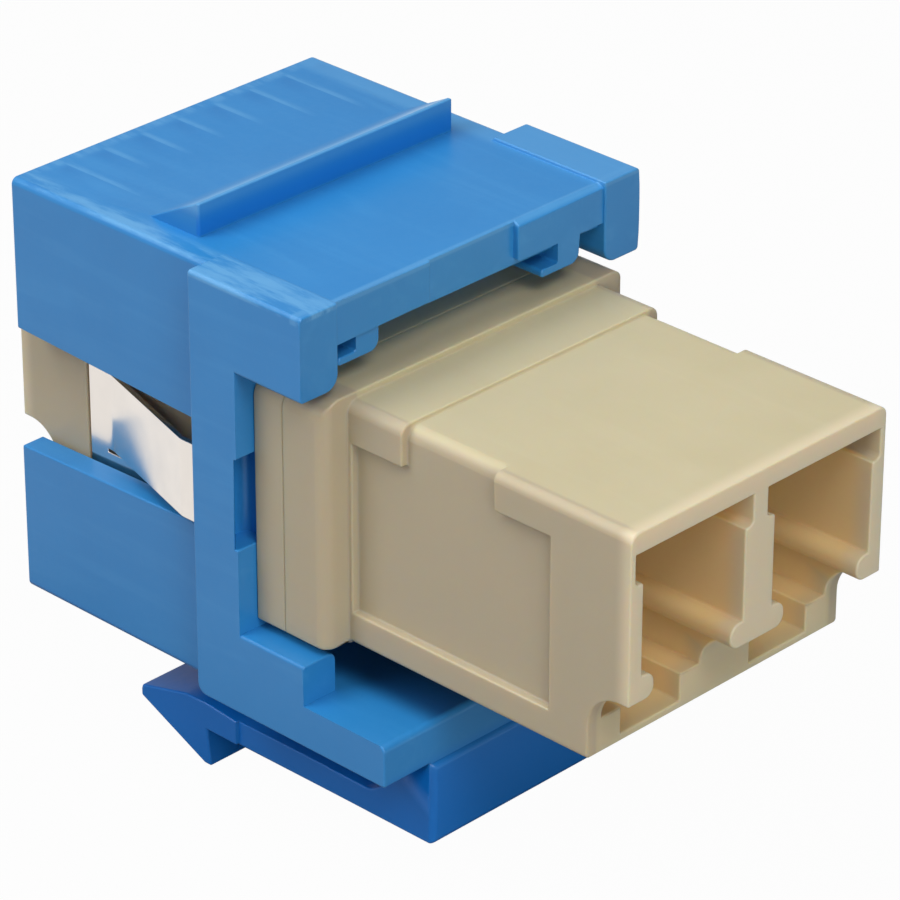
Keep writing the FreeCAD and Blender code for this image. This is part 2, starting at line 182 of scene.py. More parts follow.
sheet_matter = bpy.data.materials.new("pale_sweep")
sheet_matter.use_nodes = True
tree = sheet_matter.node_tree
tree.nodes.clear()
paper = node(tree, "ShaderNodeBsdfDiffuse",
             values={"Color": (paper_grey, paper_grey, paper_grey, 1)})
glow = node(tree, "ShaderNodeEmission", values={"Color": (1, 1, 1, 1), "Strength": 1.0})
ground = node(tree, "ShaderNodeTexCoord").outputs["Object"]
parts = node(tree, "ShaderNodeSeparateXYZ", feeds={0: ground}).outputs
left_card = ramp(tree, parts["X"], mm(-10.5), mm(-16.5), "LINEAR")
back_card = ramp(tree, parts["Y"], mm(-12), mm(-34), "LINEAR")
front_card = ramp(tree, parts["Y"], mm(12), mm(20), "LINEAR")
sides = calc(tree, "MAXIMUM", left_card, front_card)
cards = calc(tree, "MAXIMUM", sides, back_card)
surface = white_for_the_eye(tree, paper, glow, white_share, cards)
node(tree, "ShaderNodeOutputMaterial", feeds={"Surface": surface})

bpy.ops.object.select_all(action="DESELECT")
bpy.ops.mesh.primitive_plane_add(size=4, location=(0, 0, cad_low.z - gap_below))
floor = bpy.context.object
floor.name = "floor"
floor.data.materials.append(sheet_matter)
print("floor at", round(floor.location.z * 1000, 2), "mm, nodes", len(tree.nodes))

# %% [markdown]
# The world lights the object only faintly and a little warm, so that the lamps shape
# it. The camera still sees plain white, and glossy surfaces see half of that white,
# which keeps the sky from washing out the blue.

# %% World
sky_light = 0.07
sky_in_gloss = 0.5

world = bpy.data.worlds.new("studio")
bpy.context.scene.world = world
world.use_nodes = True
tree = world.node_tree
tree.nodes.clear()
soft = node(tree, "ShaderNodeBackground",
            values={"Color": (1.0, 0.985, 0.97, 1), "Strength": sky_light})
plain = node(tree, "ShaderNodeBackground", values={"Strength": 1.0})
surface = white_for_the_eye(tree, soft, plain, 1.0, sky_in_gloss)
node(tree, "ShaderNodeOutputWorld", feeds={"Surface": surface})
print("world:", world.name, "nodes", len(tree.nodes))

# %% [markdown]
# ## Lamps
#
# Four soft boxes, large next to an object of three centimetres. The one overhead does
# most of the work, and stands a little beyond the object's front, so that the decks
# shade what lies under them. One high on the far left keeps the long side from going
# flat, one high beside the camera lights the rear faces, and a small low one looks
# into the open ports. Their tints are slight. Places and sizes are in millimetres.

# %% Lamps
def soft_box(name, place, target, size, watts, tint):
    data = bpy.data.lights.new(name, "AREA")
    data.shape = "RECTANGLE"
    data.size, data.size_y = mm(size[0]), mm(size[1])
    data.energy = watts
    data.color = tint
    lamp = bpy.data.objects.new(name, data)
    bpy.context.collection.objects.link(lamp)
    lamp.location = mm(*place)
    lamp.rotation_mode = "QUATERNION"
    lamp.rotation_quaternion = (mm(*target) - mm(*place)).to_track_quat("-Z", "Y")
    print("lamp:", name, watts, "W")


soft_box("overhead_box", place=(-30, 45, 190), target=(0, -4, 0), size=(170, 170),
         watts=0.205, tint=(0.965, 1.0, 0.975))
soft_box("port_box", place=(-40, -110, 25), target=(0, -12, 0), size=(60, 50),
         watts=0.037, tint=(1.0, 0.98, 0.95))
soft_box("side_box", place=(-130, 60, 120), target=(0, 0, 0), size=(110, 110),
         watts=0.155, tint=(1.0, 0.97, 1.0))
soft_box("front_box", place=(-50, -105, 140), target=(0, -10, 0), size=(80, 70),
         watts=0.120, tint=(1.0, 0.97, 0.98))

# %% [markdown]
# ## Finishes: what moulded plastic really looks like
#
# A smooth moulding is never a single flat colour. Its skin copies the fine spark
# erosion texture of the steel mould, sinks a little where the wall is thick, and
# carries faint streaks where the melt flowed. One node group makes all of this, and
# each plastic gets it with its own values. A group is an empty tree at first, with
# named sockets on both ends, so a helper makes that, and two more make what the tree
# holds most of: noise and colours laid over each other.

# %% Helpers for groups
def group_with(name, inputs, outputs):
    """An empty shader node group with named sockets."""
    group = bpy.data.node_groups.new(name, "ShaderNodeTree")
    for label, kind, value in inputs:
        socket = group.interface.new_socket(label, in_out="INPUT", socket_type=kind)
        socket.default_value = value
    for label, kind in outputs:
        group.interface.new_socket(label, in_out="OUTPUT", socket_type=kind)
    start = group.nodes.new("NodeGroupInput")
    end = group.nodes.new("NodeGroupOutput")
    return group, start, end


def noise(tree, place, scale, detail, roughness, distortion=0.0):
    """Noise from 0 to 1 at a place, as a socket."""
    return node(tree, "ShaderNodeTexNoise",
                values={"Scale": scale, "Detail": detail, "Roughness": roughness,
                        "Distortion": distortion},
                feeds={"Vector": place}).outputs["Fac"]


def laid_over(tree, amount, under, over):
    """The colour under, with over laid on it: a socket, or a plain tint."""
    made = node(tree, "ShaderNodeMix", {"data_type": "RGBA"},
                feeds={"Factor": amount, "A": under})
    if isinstance(over, tuple):
        made.inputs["B"].default_value = (*over, 1)
    else:
        tree.links.new(over, made.inputs["B"])
    return made.outputs["Result"]


# %% [markdown]
# First the colour. The pigment is cloudy over a few millimetres, which mixes a deep
# tone with the base. Flow streaks run along the moulding, front to back, so their
# noise is stretched in Y, and they are paler. The group reads Object coordinates,
# which run in metres, so its scales are large: 1000 is one repeat per millimetre.

# %% The moulded skin: colour
FLOAT, COLOUR, VECTOR = "NodeSocketFloat", "NodeSocketColor", "NodeSocketVector"
skin, start, end = group_with(
    "moulded_skin",
    [("Base", COLOUR, (0.5, 0.5, 0.5, 1)), ("Deep", COLOUR, (0.4, 0.4, 0.4, 1)),
     ("Pale", COLOUR, (0.6, 0.6, 0.6, 1)), ("Grain", FLOAT, 0.3), ("Sink", FLOAT, 0.3),
     ("Streak", FLOAT, 0.3), ("Rough", FLOAT, 0.35)],
    [("Color", COLOUR), ("Roughness", FLOAT), ("Normal", VECTOR)])
asked = start.outputs
place = node(skin, "ShaderNodeTexCoord").outputs["Object"]

cloud = noise(skin, place, scale=260, detail=3, roughness=0.55)
clouded = laid_over(skin, ramp(skin, cloud, 0.35, 0.65, "LINEAR"), asked["Deep"], asked["Base"])

stretched = node(skin, "ShaderNodeMapping", values={"Scale": (1, 0.09, 1)},
                 feeds={"Vector": place}).outputs[0]
flow = noise(skin, stretched, scale=900, detail=4, roughness=0.6, distortion=0.6)
streaks = calc(skin, "MULTIPLY", ramp(skin, flow, 0.52, 0.74, "LINEAR"), asked["Streak"])
colour = laid_over(skin, streaks, clouded, asked["Pale"])
skin.links.new(colour, end.inputs["Color"])
print("group:", skin.name, "colour done")

# %% [markdown]
# Then the touch. The grain of the mould is a tenth of a millimetre and less. It makes
# the roughness wander a little, and it gives two of the three bumps, which run from
# slow to fine and each build on the one before: the sink of the wall, the grain, and
# a finer grain on top of it. All stay far below what geometry could show.

# %% The moulded skin: roughness and bumps
def bump(tree, height, strength, depth, below=None):
    """The normal after one bump; below is the normal that it builds on."""
    made = node(tree, "ShaderNodeBump", values={"Distance": depth},
                feeds={"Strength": strength, "Height": height})
    if below is not None:
        tree.links.new(below, made.inputs["Normal"])
    return made.outputs[0]


sink = noise(skin, place, scale=420, detail=1, roughness=0.4)
fine = noise(skin, place, scale=3200, detail=3, roughness=0.6)
grain = noise(skin, place, scale=9000, detail=2, roughness=0.5)

wander = calc(skin, "MULTIPLY_ADD", fine, 0.16, -0.08)
roughness = calc(skin, "ADD", asked["Rough"], wander, clamp=True)
skin.links.new(roughness, end.inputs["Roughness"])

slow = bump(skin, sink, asked["Sink"], mm(0.06))
middle = bump(skin, fine, asked["Grain"], mm(0.012), slow)
small = bump(skin, grain, asked["Grain"], mm(0.004), middle)
skin.links.new(small, end.inputs["Normal"])
print("group:", skin.name, "nodes", len(skin.nodes))

# %% [markdown]
# ## Masks: where light and shade are painted
#
# Light and shade are painted into the colour of the plastics in several places. Painted shade
# deepens walls that lie in shade. Painted highlights pale the edges and ridges that catch the
# light. A painted warm glow stands for light that bounces in the beige ports and passes through
# their thin walls. Each such place gets a mask: a small group that works out a value from 0 to
# 1 from the place on the object, in millimetres. A mask is mostly ramps multiplied, so that it
# is 1 only where all of them are, and the larger of several such areas.

# %% Mask helpers
def times(tree, first, *others):
    """All sources multiplied: 1 only where each of them is."""
    for other in others:
        first = calc(tree, "MULTIPLY", first, other)
    return first


def largest(tree, first, *others):
    """The largest source: 1 where any of them is."""
    for other in others:
        first = calc(tree, "MAXIMUM", first, other)
    return first


def in_mm(tree):
    """Object coordinates in millimetres."""
    spot = node(tree, "ShaderNodeTexCoord").outputs["Object"]
    return node(tree, "ShaderNodeVectorMath", {"operation": "SCALE"},
                values={"Scale": 1000.0}, feeds={0: spot}).outputs[0]


def mask_group(name, rule):
    """A group with one output, Mask, that rule(tree, x, y, z) works out."""
    group, _, end = group_with(name, [], [("Mask", FLOAT)])
    x, y, z = node(group, "ShaderNodeSeparateXYZ", feeds={0: in_mm(group)}).outputs
    group.links.new(rule(group, x, y, z), end.inputs["Mask"])
    print("mask:", name, "nodes", len(group.nodes))
    return group


# %% [markdown]
# The first mask is the inside of the coupler's ports, at both ends. Light bounces between the
# beige walls there and picks up the pigment each time, and that warm glow is painted into the
# colour. The painted glow warms the upper part of a port soon after its mouth, and the low
# steps further in.

# %% Mask: painted glow inside the ports
def inside_ports(tree, x, y, z):
    between_walls = ramp(tree, calc(tree, "ABSOLUTE", x), 5.80, 5.60)
    under_roof = ramp(tree, z, 3.80, 3.50)
    over_floor = ramp(tree, z, -4.45, -4.1)
    within = times(tree, between_walls, under_roof, over_floor)
    past_mouth = calc(tree, "MINIMUM", ramp(tree, y, -17.85, -16.9), ramp(tree, y, 10.6, 9.7))
    far_in = calc(tree, "MINIMUM", ramp(tree, y, -16.4, -15.2), ramp(tree, y, 9.2, 8.0))
    upper = times(tree, past_mouth, ramp(tree, z, -2.7, -2.2))
    return times(tree, within, largest(tree, upper, far_in))


# the painted warm glow inside the ports
painted_port_glow = mask_group("painted_glow_in_ports", inside_ports)

# %% [markdown]
# The rim of each mouth is painted the palest beige of all: a painted highlight for the light
# that leaves the ports and falls on it. The mask covers the end faces, and fades over the
# stepped floor and the ledges just behind them.

# %% Mask: painted light on the rim of the mouths
def rim_of_mouths(tree, x, y, z):
    rear_face, front_face = ramp(tree, y, -17.2, -17.85), ramp(tree, y, 10.0, 10.65)
    behind_face = largest(tree, ramp(tree, y, -15.6, -17.4), ramp(tree, y, 8.4, 10.2))
    between_walls = ramp(tree, calc(tree, "ABSOLUTE", x), 5.62, 5.52)
    steps_inside = times(tree, behind_face, between_walls, ramp(tree, z, 3.85, 3.65))
    return largest(tree, rear_face, front_face, steps_inside)


# the painted highlight on the rims of the mouths
lip_light = mask_group("painted_rim_light", rim_of_mouths)

# %% [markdown]
# Two masks paint shade into the blue. One is painted shade on all that hangs low in the shadow
# of the decks, the latch and its root, and more weakly on the back of the catch on the top
# deck. The other is a painted shadow on the lower deck, where the beige body shades it from the
# lamps, away from its open edges.

# %% Masks: painted shade on the low walls and the lower deck
catch_share = 0.8


def hangs_low(tree, x, y, z):
    under_housing = ramp(tree, z, -7.4, -8.4)
    inside_sides = ramp(tree, calc(tree, "ABSOLUTE", x), 7.98, 7.85)
    above_deck, below_crest = ramp(tree, z, 7.96, 8.02), ramp(tree, z, 9.05, 8.25)
    on_back_face = times(tree, ramp(tree, y, 1.80, 1.70), ramp(tree, y, 1.2, 1.4))
    catch_back = times(tree, above_deck, below_crest, on_back_face)
    return largest(tree, times(tree, under_housing, inside_sides),
                   times(tree, catch_back, catch_share))


def under_the_body(tree, x, y, z):
    on_deck = times(tree, ramp(tree, z, -6.00, -6.15), ramp(tree, z, -7.0, -6.8))
    along = times(tree, ramp(tree, y, -2.9, -3.3), ramp(tree, y, -8.90, -8.70))
    across = ramp(tree, calc(tree, "ABSOLUTE", x), 6.2, 5.0)
    return times(tree, on_deck, along, across)


# painted shade on the latch, its root and the back of the catch
painted_low_shade = mask_group("painted_low_shade", hangs_low)
# painted shadow of the coupler's body on the lower deck
painted_shadow_on_deck = mask_group("painted_deck_shadow", under_the_body)

# %% [markdown]
# The outer side walls of the coupler are painted a shade greyer and cooler than its top:
# painted shade, for the lesser light that falls on them.

# %% Mask: painted shade on the side walls
def outer_sides(tree, x, y, z):
    return ramp(tree, calc(tree, "ABSOLUTE", x), 5.62, 5.80)


# painted shade on the coupler's outer side walls
painted_side_shade = mask_group("painted_side_shade", outer_sides)

# %% [markdown]
# The mould has ribs that leave fan-shaped ripples on the housing's top, starting at the tube's
# front edge, and the light on them is painted as pale streaks. They stand in rows from side to
# side, so a saw-tooth over X gives the place within a row, and a random number per row gives
# each streak its own length. Between the streaks the same rows are painted darker: painted
# shade of the slight hollows there.

# %% Rows of the ribs
rows_per_mm = 0.58
row_shift = 40.0          # keeps the count of rows above zero
top_low, top_high = 7.80, 7.90      # only the top face lies above these


def row_place(tree, x):
    """Counts the rows across: the whole part is the row, the rest the place in it."""
    return calc(tree, "MULTIPLY_ADD", x, rows_per_mm, row_shift)


def painted_hollow_shade(tree, x, y, z):
    saw = calc(tree, "FRACT", row_place(tree, x))
    wedge_start = calc(tree, "MULTIPLY_ADD", saw, 3.2, 5.6)
    into = calc(tree, "SUBTRACT", y, wedge_start)
    in_row = times(tree, ramp(tree, saw, 0.45, 0.95), ramp(tree, saw, 1.0, 0.95))
    before_edge = ramp(tree, y, 9.2, 8.7)
    return times(tree, in_row, ramp(tree, into, -1.2, 0.6), before_edge,
                 ramp(tree, z, top_low, top_high))


# painted shade between the rib streaks
hollows = mask_group("painted_hollow_shade", painted_hollow_shade)

# %% [markdown]
# The last mask marks painted highlights, pale where the light catches the top: the streaks of
# the ribs, the rails along both sides of the top, its front and rear edges, and the crest of
# the catch. Long flecks, from noise stretched from front to rear, break up the painted
# highlight on the left rail and the front edge. The right rail and the edges are fainter than
# the left rail.

# %% Mask: painted highlights
right_share, faint_share = 0.45, 0.55


def rib_streaks(tree, x, y, high, long_noise):
    """One painted highlight streak to each row, of its own length."""
    row = row_place(tree, x)
    saw = calc(tree, "FRACT", row)
    chance = node(tree, "ShaderNodeTexWhiteNoise", {"noise_dimensions": "1D"},
                  feeds={"W": calc(tree, "FLOOR", row)}).outputs["Value"]
    past = calc(tree, "SUBTRACT", y, calc(tree, "MULTIPLY_ADD", chance, -2.2, 7.4))
    between_rails = ramp(tree, calc(tree, "ABSOLUTE", x), 6.4, 6.0)
    length = times(tree, high, ramp(tree, past, -0.6, 1.2), ramp(tree, y, 9.35, 8.9),
                   between_rails)
    return times(tree, ramp(tree, saw, 0.20, 0.06), length,
                 ramp(tree, long_noise, 0.30, 0.55))


def painted_highlights(tree, x, y, z):
    high = ramp(tree, z, top_low, top_high)
    stretched = node(tree, "ShaderNodeMapping", values={"Scale": (1.6, 0.25, 1)},
                     feeds={"Vector": in_mm(tree)}).outputs[0]
    long_noise = noise(tree, stretched, scale=1.3, detail=5, roughness=0.7)
    fleck = ramp(tree, long_noise, 0.36, 0.62)
    left_rail = times(tree, high, ramp(tree, x, -6.1, -6.7), fleck)
    right_rail = times(tree, ramp(tree, z, 7.85, 7.92), ramp(tree, x, 5.9, 6.5), right_share)
    rear_edge = times(tree, ramp(tree, z, 7.70, 7.80), ramp(tree, y, -4.72, -4.86),
                      ramp(tree, y, -5.20, -4.98))
    front_edge = times(tree, high, ramp(tree, y, 8.95, 9.3), fleck)
    streaks = rib_streaks(tree, x, y, high, long_noise)
    faint = times(tree, largest(tree, streaks, front_edge, rear_edge), faint_share)
    crest = times(tree, ramp(tree, z, 8.55, 9.05), ramp(tree, y, 1.5, 1.75))
    return largest(tree, left_rail, right_rail, faint, crest)


# painted highlights on the streaks, rails, edges and crest of the catch
painted_highlight_mask = mask_group("painted_highlight_places", painted_highlights)

# %% [markdown]
# ## The two plastics
#
# The two plastics differ in more than colour. The blue one is a glossier polycarbonate blend
# with a clear edge highlight. The beige one is softer and lets a little light in, which
# subsurface scattering gives. Both start from the moulded skin, and then each mask lays its own
# painted light or shade over it as a tint, by its own share.

# %% From skin to plastic
def coated(name, group, values):
    """A material that takes colour, roughness and normal from a group."""
    made = bpy.data.materials.new(name)
    made.use_nodes = True
    tree = made.node_tree
    shader = tree.nodes["Principled BSDF"]
    coating = node(tree, "ShaderNodeGroup", {"node_tree": group}, values)
    for label, socket in (("Color", "Base Color"), ("Roughness", "Roughness"),
                          ("Normal", "Normal")):
        tree.links.new(coating.outputs[label], shader.inputs[socket])
    print("material:", name)
    return made, shader, coating


def plastic(name, tones, touch, layers, gloss, inner=0.0):
    """Moulded skin, then for each layer (mask group, tint, share) a tint over it."""
    values = {label: (*tone, 1) for label, tone in zip(("Base", "Deep", "Pale"), tones)}
    values.update(touch)
    made, shader, coating = coated(name, skin, values)
    tree = made.node_tree
    colour = coating.outputs["Color"]
    for group, tint, share in layers:
        mask = node(tree, "ShaderNodeGroup", {"node_tree": group}).outputs["Mask"]
        colour = laid_over(tree, calc(tree, "MULTIPLY", mask, share), colour, tint)
    tree.links.new(colour, shader.inputs["Base Color"])
    shader.inputs["IOR"].default_value = 1.5
    shader.inputs["Specular IOR Level"].default_value = gloss
    if inner:
        shader.inputs["Subsurface Weight"].default_value = inner
        shader.inputs["Subsurface Radius"].default_value = (1.0, 0.55, 0.25)
        shader.inputs["Subsurface Scale"].default_value = mm(1.0)
    return made


# %% [markdown]
# The three tones of each plastic are its base, a deeper one for the clouds and a paler one for
# the streaks. They lie close together, since a good moulding is nearly even, and the layers of
# painted light and shade do the rest.

# %% Blue and beige
blue_moulding = plastic(
    "blue_moulding",
    tones=((0.026, 0.243, 0.598), (0.023, 0.230, 0.576), (0.055, 0.305, 0.660)),
    touch={"Rough": 0.36, "Grain": 0.25, "Sink": 0.25, "Streak": 0.35},
    # painted shade on what hangs low and on the back of the catch
    layers=[(painted_low_shade, (0.004, 0.175, 0.610), 1.0),
            # painted shadow of the body on the lower deck
            (painted_shadow_on_deck, (0.004, 0.050, 0.190), 0.8),
            # painted shade in the hollows between the rib streaks
            (hollows, (0.012, 0.190, 0.520), 0.7),
            # painted highlights on the top, its edges and the catch's crest
            (painted_highlight_mask, (0.135, 0.410, 0.740), 0.75)],
    gloss=0.5)
beige_moulding = plastic(
    "beige_moulding",
    tones=((0.600, 0.535, 0.345), (0.582, 0.517, 0.327), (0.635, 0.572, 0.385)),
    touch={"Rough": 0.42, "Grain": 0.25, "Sink": 0.25, "Streak": 0.25},
    # painted shade on the coupler's sides
    layers=[(painted_side_shade, (0.500, 0.430, 0.300), 0.9),
            # painted highlight on the mouth rims
            (lip_light, (0.735, 0.640, 0.450), 0.9),
            # painted warm glow inside the ports
            (painted_port_glow, (0.860, 0.630, 0.300), 0.9)],
    gloss=0.45, inner=0.5)

# %% [markdown]
# ## Steel and ceramic
#
# The clip is a strip of rolled spring steel. Rolling leaves hair lines along the strip
# and a mirror-like skin, so it mostly shows what stands around it: the white room
# and the blue walls. The two sleeves are ground zirconia, white and very smooth. They
# hide inside, yet anyone who takes the part to pieces will find them finished. One
# group serves both, with lines stretched along Y and a slow stain in tone and gloss.

# %% The rolled strip group
rolled, start, end = group_with(
    "rolled_strip",
    [("Base", COLOUR, (0.7, 0.68, 0.65, 1)), ("Dull", COLOUR, (0.6, 0.58, 0.55, 1)),
     ("Rough", FLOAT, 0.2), ("Lines", FLOAT, 0.3)],
    [("Color", COLOUR), ("Roughness", FLOAT), ("Normal", VECTOR)])
asked = start.outputs
place = node(rolled, "ShaderNodeTexCoord").outputs["Object"]
drawn = node(rolled, "ShaderNodeMapping", values={"Scale": (1, 0.02, 1)},
             feeds={"Vector": place}).outputs[0]
hair = noise(rolled, drawn, scale=16000, detail=3, roughness=0.6)
stain = noise(rolled, place, scale=700, detail=3, roughness=0.6)
rolled.links.new(laid_over(rolled, stain, asked["Base"], asked["Dull"]), end.inputs["Color"])
spread = calc(rolled, "MULTIPLY_ADD", stain, 0.12, -0.06)
rolled.links.new(calc(rolled, "ADD", asked["Rough"], spread, clamp=True),
                 end.inputs["Roughness"])
rolled.links.new(bump(rolled, hair, asked["Lines"], mm(0.004)), end.inputs["Normal"])
print("group:", rolled.name, "nodes", len(rolled.nodes))

# %% [markdown]
# The steel is fully metallic, and the ceramic not at all. Each solid of the frame then
# gets its finish, also those that a softened piece will stand in for, so that none is
# ever seen bare.

# %% Steel, ceramic, and finishes on the solids
clip_steel, shader, _ = coated(
    "clip_steel", rolled, {"Base": (0.86, 0.80, 0.74, 1), "Dull": (0.78, 0.73, 0.68, 1),
                           "Rough": 0.2, "Lines": 0.25})
shader.inputs["Metallic"].default_value = 1.0
zirconia, _, _ = coated(
    "zirconia", rolled, {"Base": (0.86, 0.85, 0.81, 1), "Dull": (0.82, 0.81, 0.77, 1),
                         "Rough": 0.16, "Lines": 0.1})

finish_of = {
    "keystone_housing": blue_moulding, "release_latch": blue_moulding,
    "adapter_rear_half": beige_moulding, "adapter_front_half": beige_moulding,
    "left_alignment_sleeve": zirconia, "right_alignment_sleeve": zirconia,
    "retaining_clip": clip_steel,
}
for name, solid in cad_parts.items():
    solid.data.materials.clear()
    solid.data.materials.append(finish_of[name])
    print("finish:", name, "->", finish_of[name].name)

# %% [markdown]
# ## Tools for the bench
#
# The shapes come next, and most of the work happens in edit mode, so a few helpers
# keep it short. Blender's operators act on whatever is selected, and loading the frame
# leaves its solids selected. `take` therefore clears the selection and picks one
# object. In edit mode the choice of faces or edges is made in code, by where their
# middle lies, which is safer than counting on an index that may change.

# %% Small helpers
def take(obj):
    """Makes obj the only selected and active object."""
    bpy.ops.object.select_all(action="DESELECT")
    obj.select_set(True)
    bpy.context.view_layer.objects.active = obj


def edit():
    bpy.ops.object.mode_set(mode="EDIT")


def leave():
    bpy.ops.object.mode_set(mode="OBJECT")


def apply_all(obj):
    """Applies every modifier, top to bottom."""
    take(obj)
    for modifier in list(obj.modifiers):
        bpy.ops.object.modifier_apply(modifier=modifier.name)


def choose(obj, kind, test):
    """Selects the faces, edges or points whose middle passes test; gives how many."""
    leave()
    mesh = obj.data
    for group in (mesh.vertices, mesh.edges, mesh.polygons):
        for item in group:
            item.select = False
    items = {"FACE": mesh.polygons, "EDGE": mesh.edges, "VERT": mesh.vertices}[kind]
    found = 0
    for item in items:
        if kind == "FACE":
            passes = test(item.center, item.normal)
        elif kind == "EDGE":
            a, b = (mesh.vertices[i].co for i in item.vertices)
            passes = test((a + b) / 2)
        else:
            passes = test(item.co)
        if passes:
            item.select = True
            found += 1
    edit()
    bpy.ops.mesh.select_mode(type=kind)
    return found


# %% [markdown]
# ## Softening the mouldings
#
# No moulded part has a truly sharp edge: the mould is polished, and the plastic draws
# back a little as it cools. A copy of each engineering solid therefore gets a small
# rounding on its edges. The copy arrives as loose triangles, so its doubles are
# merged and its flat triangles joined to whole faces first. The work is done at a
# thousand times the size, in millimetres, because Blender's bevel is careless with
# lengths of a few hundredths of a millimetre when a metre is the unit.

# %% A merged copy to work on
flat_within = math.radians(0.8)     # faces closer than this are one face
doubles_within = 0.0006             # points closer than this are one point


def at_work_size(piece, factor):
    """Scales the mesh itself, so that the object stays unscaled."""
    take(piece)
    piece.scale = (factor, factor, factor)
    bpy.ops.object.transform_apply(location=False, rotation=False, scale=True)


def merge_faces(closer_than):
    """In edit mode, merges doubled points and joins flat faces."""
    bpy.ops.mesh.select_all(action="SELECT")
    bpy.ops.mesh.remove_doubles(threshold=closer_than)
    bpy.ops.mesh.dissolve_limited(angle_limit=flat_within)


def merged_copy(node_name, piece_name):
    """A copy of a CAD node, in millimetres, with its triangles merged to faces."""
    piece = bpy.data.objects.new(piece_name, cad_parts[node_name].data.copy())
    bpy.context.scene.collection.objects.link(piece)
    at_work_size(piece, 1000)
    if piece.data.has_custom_normals:
        bpy.ops.mesh.customdata_custom_splitnormals_clear()
    edit()
    bpy.ops.mesh.select_all(action="SELECT")
    bpy.ops.mesh.mark_sharp(clear=True)
    merge_faces(doubles_within)
    bpy.ops.mesh.normals_make_consistent(inside=False)
    leave()
    return piece


# %% [markdown]
# The bevel follows a weight on each edge, which code can set: 1 where two faces meet
# at a sharp angle, 0 elsewhere. A rule per piece spares a few places. Inner corners
# can be left out as a whole, because where thin ribs and steps stand close together
# their roundings would run into each other.

# %% Which edges are rounded
def mark_edges(piece, limit, spare, hollows):
    """Marks each edge sharper than limit degrees for the bevel, unless spare says no.
    With hollows off, the inner corners are left out too."""
    mesh = piece.data
    beside = {}
    for face in mesh.polygons:
        for key in face.edge_keys:
            beside.setdefault(key, []).append(face)
    marks = []
    for line in mesh.edges:
        a, b = line.vertices
        pair = beside.get((min(a, b), max(a, b)), [])
        sharp = (len(pair) == 2
                 and math.degrees(pair[0].normal.angle(pair[1].normal, 0)) > limit)
        middle = (mesh.vertices[a].co + mesh.vertices[b].co) / 2
        if sharp and not hollows:
            sharp = (pair[1].center - middle).dot(pair[0].normal) < 0
        marks.append(1.0 if sharp and not spare(middle) else 0.0)
    weights = mesh.attributes.new("bevel_weight_edge", "FLOAT", "EDGE")
    weights.data.foreach_set("value", marks)
    print(piece.name, "edges to round:", int(sum(marks)))


# %% [markdown]
# After the bevel, faces with many corners are cut to triangles, which shade more
# evenly. Then the shading is smoothed across gentle angles, and a Weighted Normal
# modifier leans the normals towards the large faces, so that these look flat and
# only the rounding turns the light.

# %% Rounding and shading
smooth_within = math.radians(42)


def shade_evenly(piece):
    bpy.ops.object.shade_smooth_by_angle(angle=smooth_within, keep_sharp_edges=False)
    even = piece.modifiers.new("even_shading", "WEIGHTED_NORMAL")
    even.mode, even.weight, even.keep_sharp = "FACE_AREA", 60, True
    apply_all(piece)


def round_edges(piece, radius, steps=3, limit=40, spare=lambda p: False, hollows=True):
    """Bevels every edge sharper than limit degrees, then evens out the shading."""
    mark_edges(piece, limit, spare, hollows)
    bevel = piece.modifiers.new("edge_rounding", "BEVEL")
    bevel.width, bevel.segments = radius, steps
    bevel.limit_method = "WEIGHT"
    bevel.use_clamp_overlap = False
    apply_all(piece)
    piece.data.attributes.remove(piece.data.attributes["bevel_weight_edge"])
    edit()
    bpy.ops.mesh.select_mode(type="FACE")
    bpy.ops.mesh.select_all(action="DESELECT")
    bpy.ops.mesh.select_face_by_sides(number=4, type="GREATER")
    bpy.ops.mesh.quads_convert_to_tris(quad_method="BEAUTY", ngon_method="BEAUTY")
    leave()
    shade_evenly(piece)


# %% [markdown]
# A finished piece goes back to metres, gets its material, rides on its body and
# stands in for its solid. The coupler's halves and the clip need nothing else. On
# each half the low step across the top, where the mouth band begins, is spared, so
# that it stays a clear line.

# %% Coupler halves and clip
body_top = 3.85                       # edges above this lie on the coupler's top
rear_step, front_step = -12.01, 4.78  # where the mouth bands begin


def finish_piece(piece, body, material, stands_for):
    """Back to metres, given its finish, and tied to its body."""
    at_work_size(piece, 0.001)
    piece.data.materials.clear()
    piece.data.materials.append(material)
    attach(piece, body)
    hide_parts(stands_for)
    print("%-16s %6d faces" % (piece.name, len(piece.data.polygons)))


coupler_rear = merged_copy("adapter_rear_half", "coupler_rear")
round_edges(coupler_rear, 0.07,
            spare=lambda p: abs(p.y - rear_step) < 0.02 and p.z > body_top)
finish_piece(coupler_rear, "housing", beige_moulding, "adapter_rear_half")

coupler_front = merged_copy("adapter_front_half", "coupler_front")
round_edges(coupler_front, 0.07,
            spare=lambda p: abs(p.y - front_step) < 0.02 and p.z > body_top)
finish_piece(coupler_front, "housing", beige_moulding, "adapter_front_half")

spring_strip = merged_copy("retaining_clip", "spring_strip")
round_edges(spring_strip, 0.03, steps=2)
finish_piece(spring_strip, "housing", clip_steel, "retaining_clip")

# %% [markdown]
# ## The housing without its latch
#
# On the real part the latch is one moulding with the housing: a tongue that grows out of a
# thick root and bends there. The engineering model splits it at a hinge, so the root is cut
# away from this copy with two Boolean blocks and modelled again below, together with the
# tongue, as one piece.

# %% Cutting the root off
def block(centre, size):
    """A box with its place and size in its mesh."""
    bpy.ops.object.select_all(action="DESELECT")
    bpy.ops.mesh.primitive_cube_add(size=1, location=centre)
    made = bpy.context.object
    made.scale = size
    bpy.ops.object.transform_apply(location=True, rotation=False, scale=True)
    return made


def cut_out(piece, cutter):
    """Takes the cutter's shape out of the piece, and the cutter away."""
    cut = piece.modifiers.new("cut", "BOOLEAN")
    cut.operation, cut.solver, cut.object = "DIFFERENCE", "EXACT", cutter
    apply_all(piece)
    bpy.data.objects.remove(cutter)


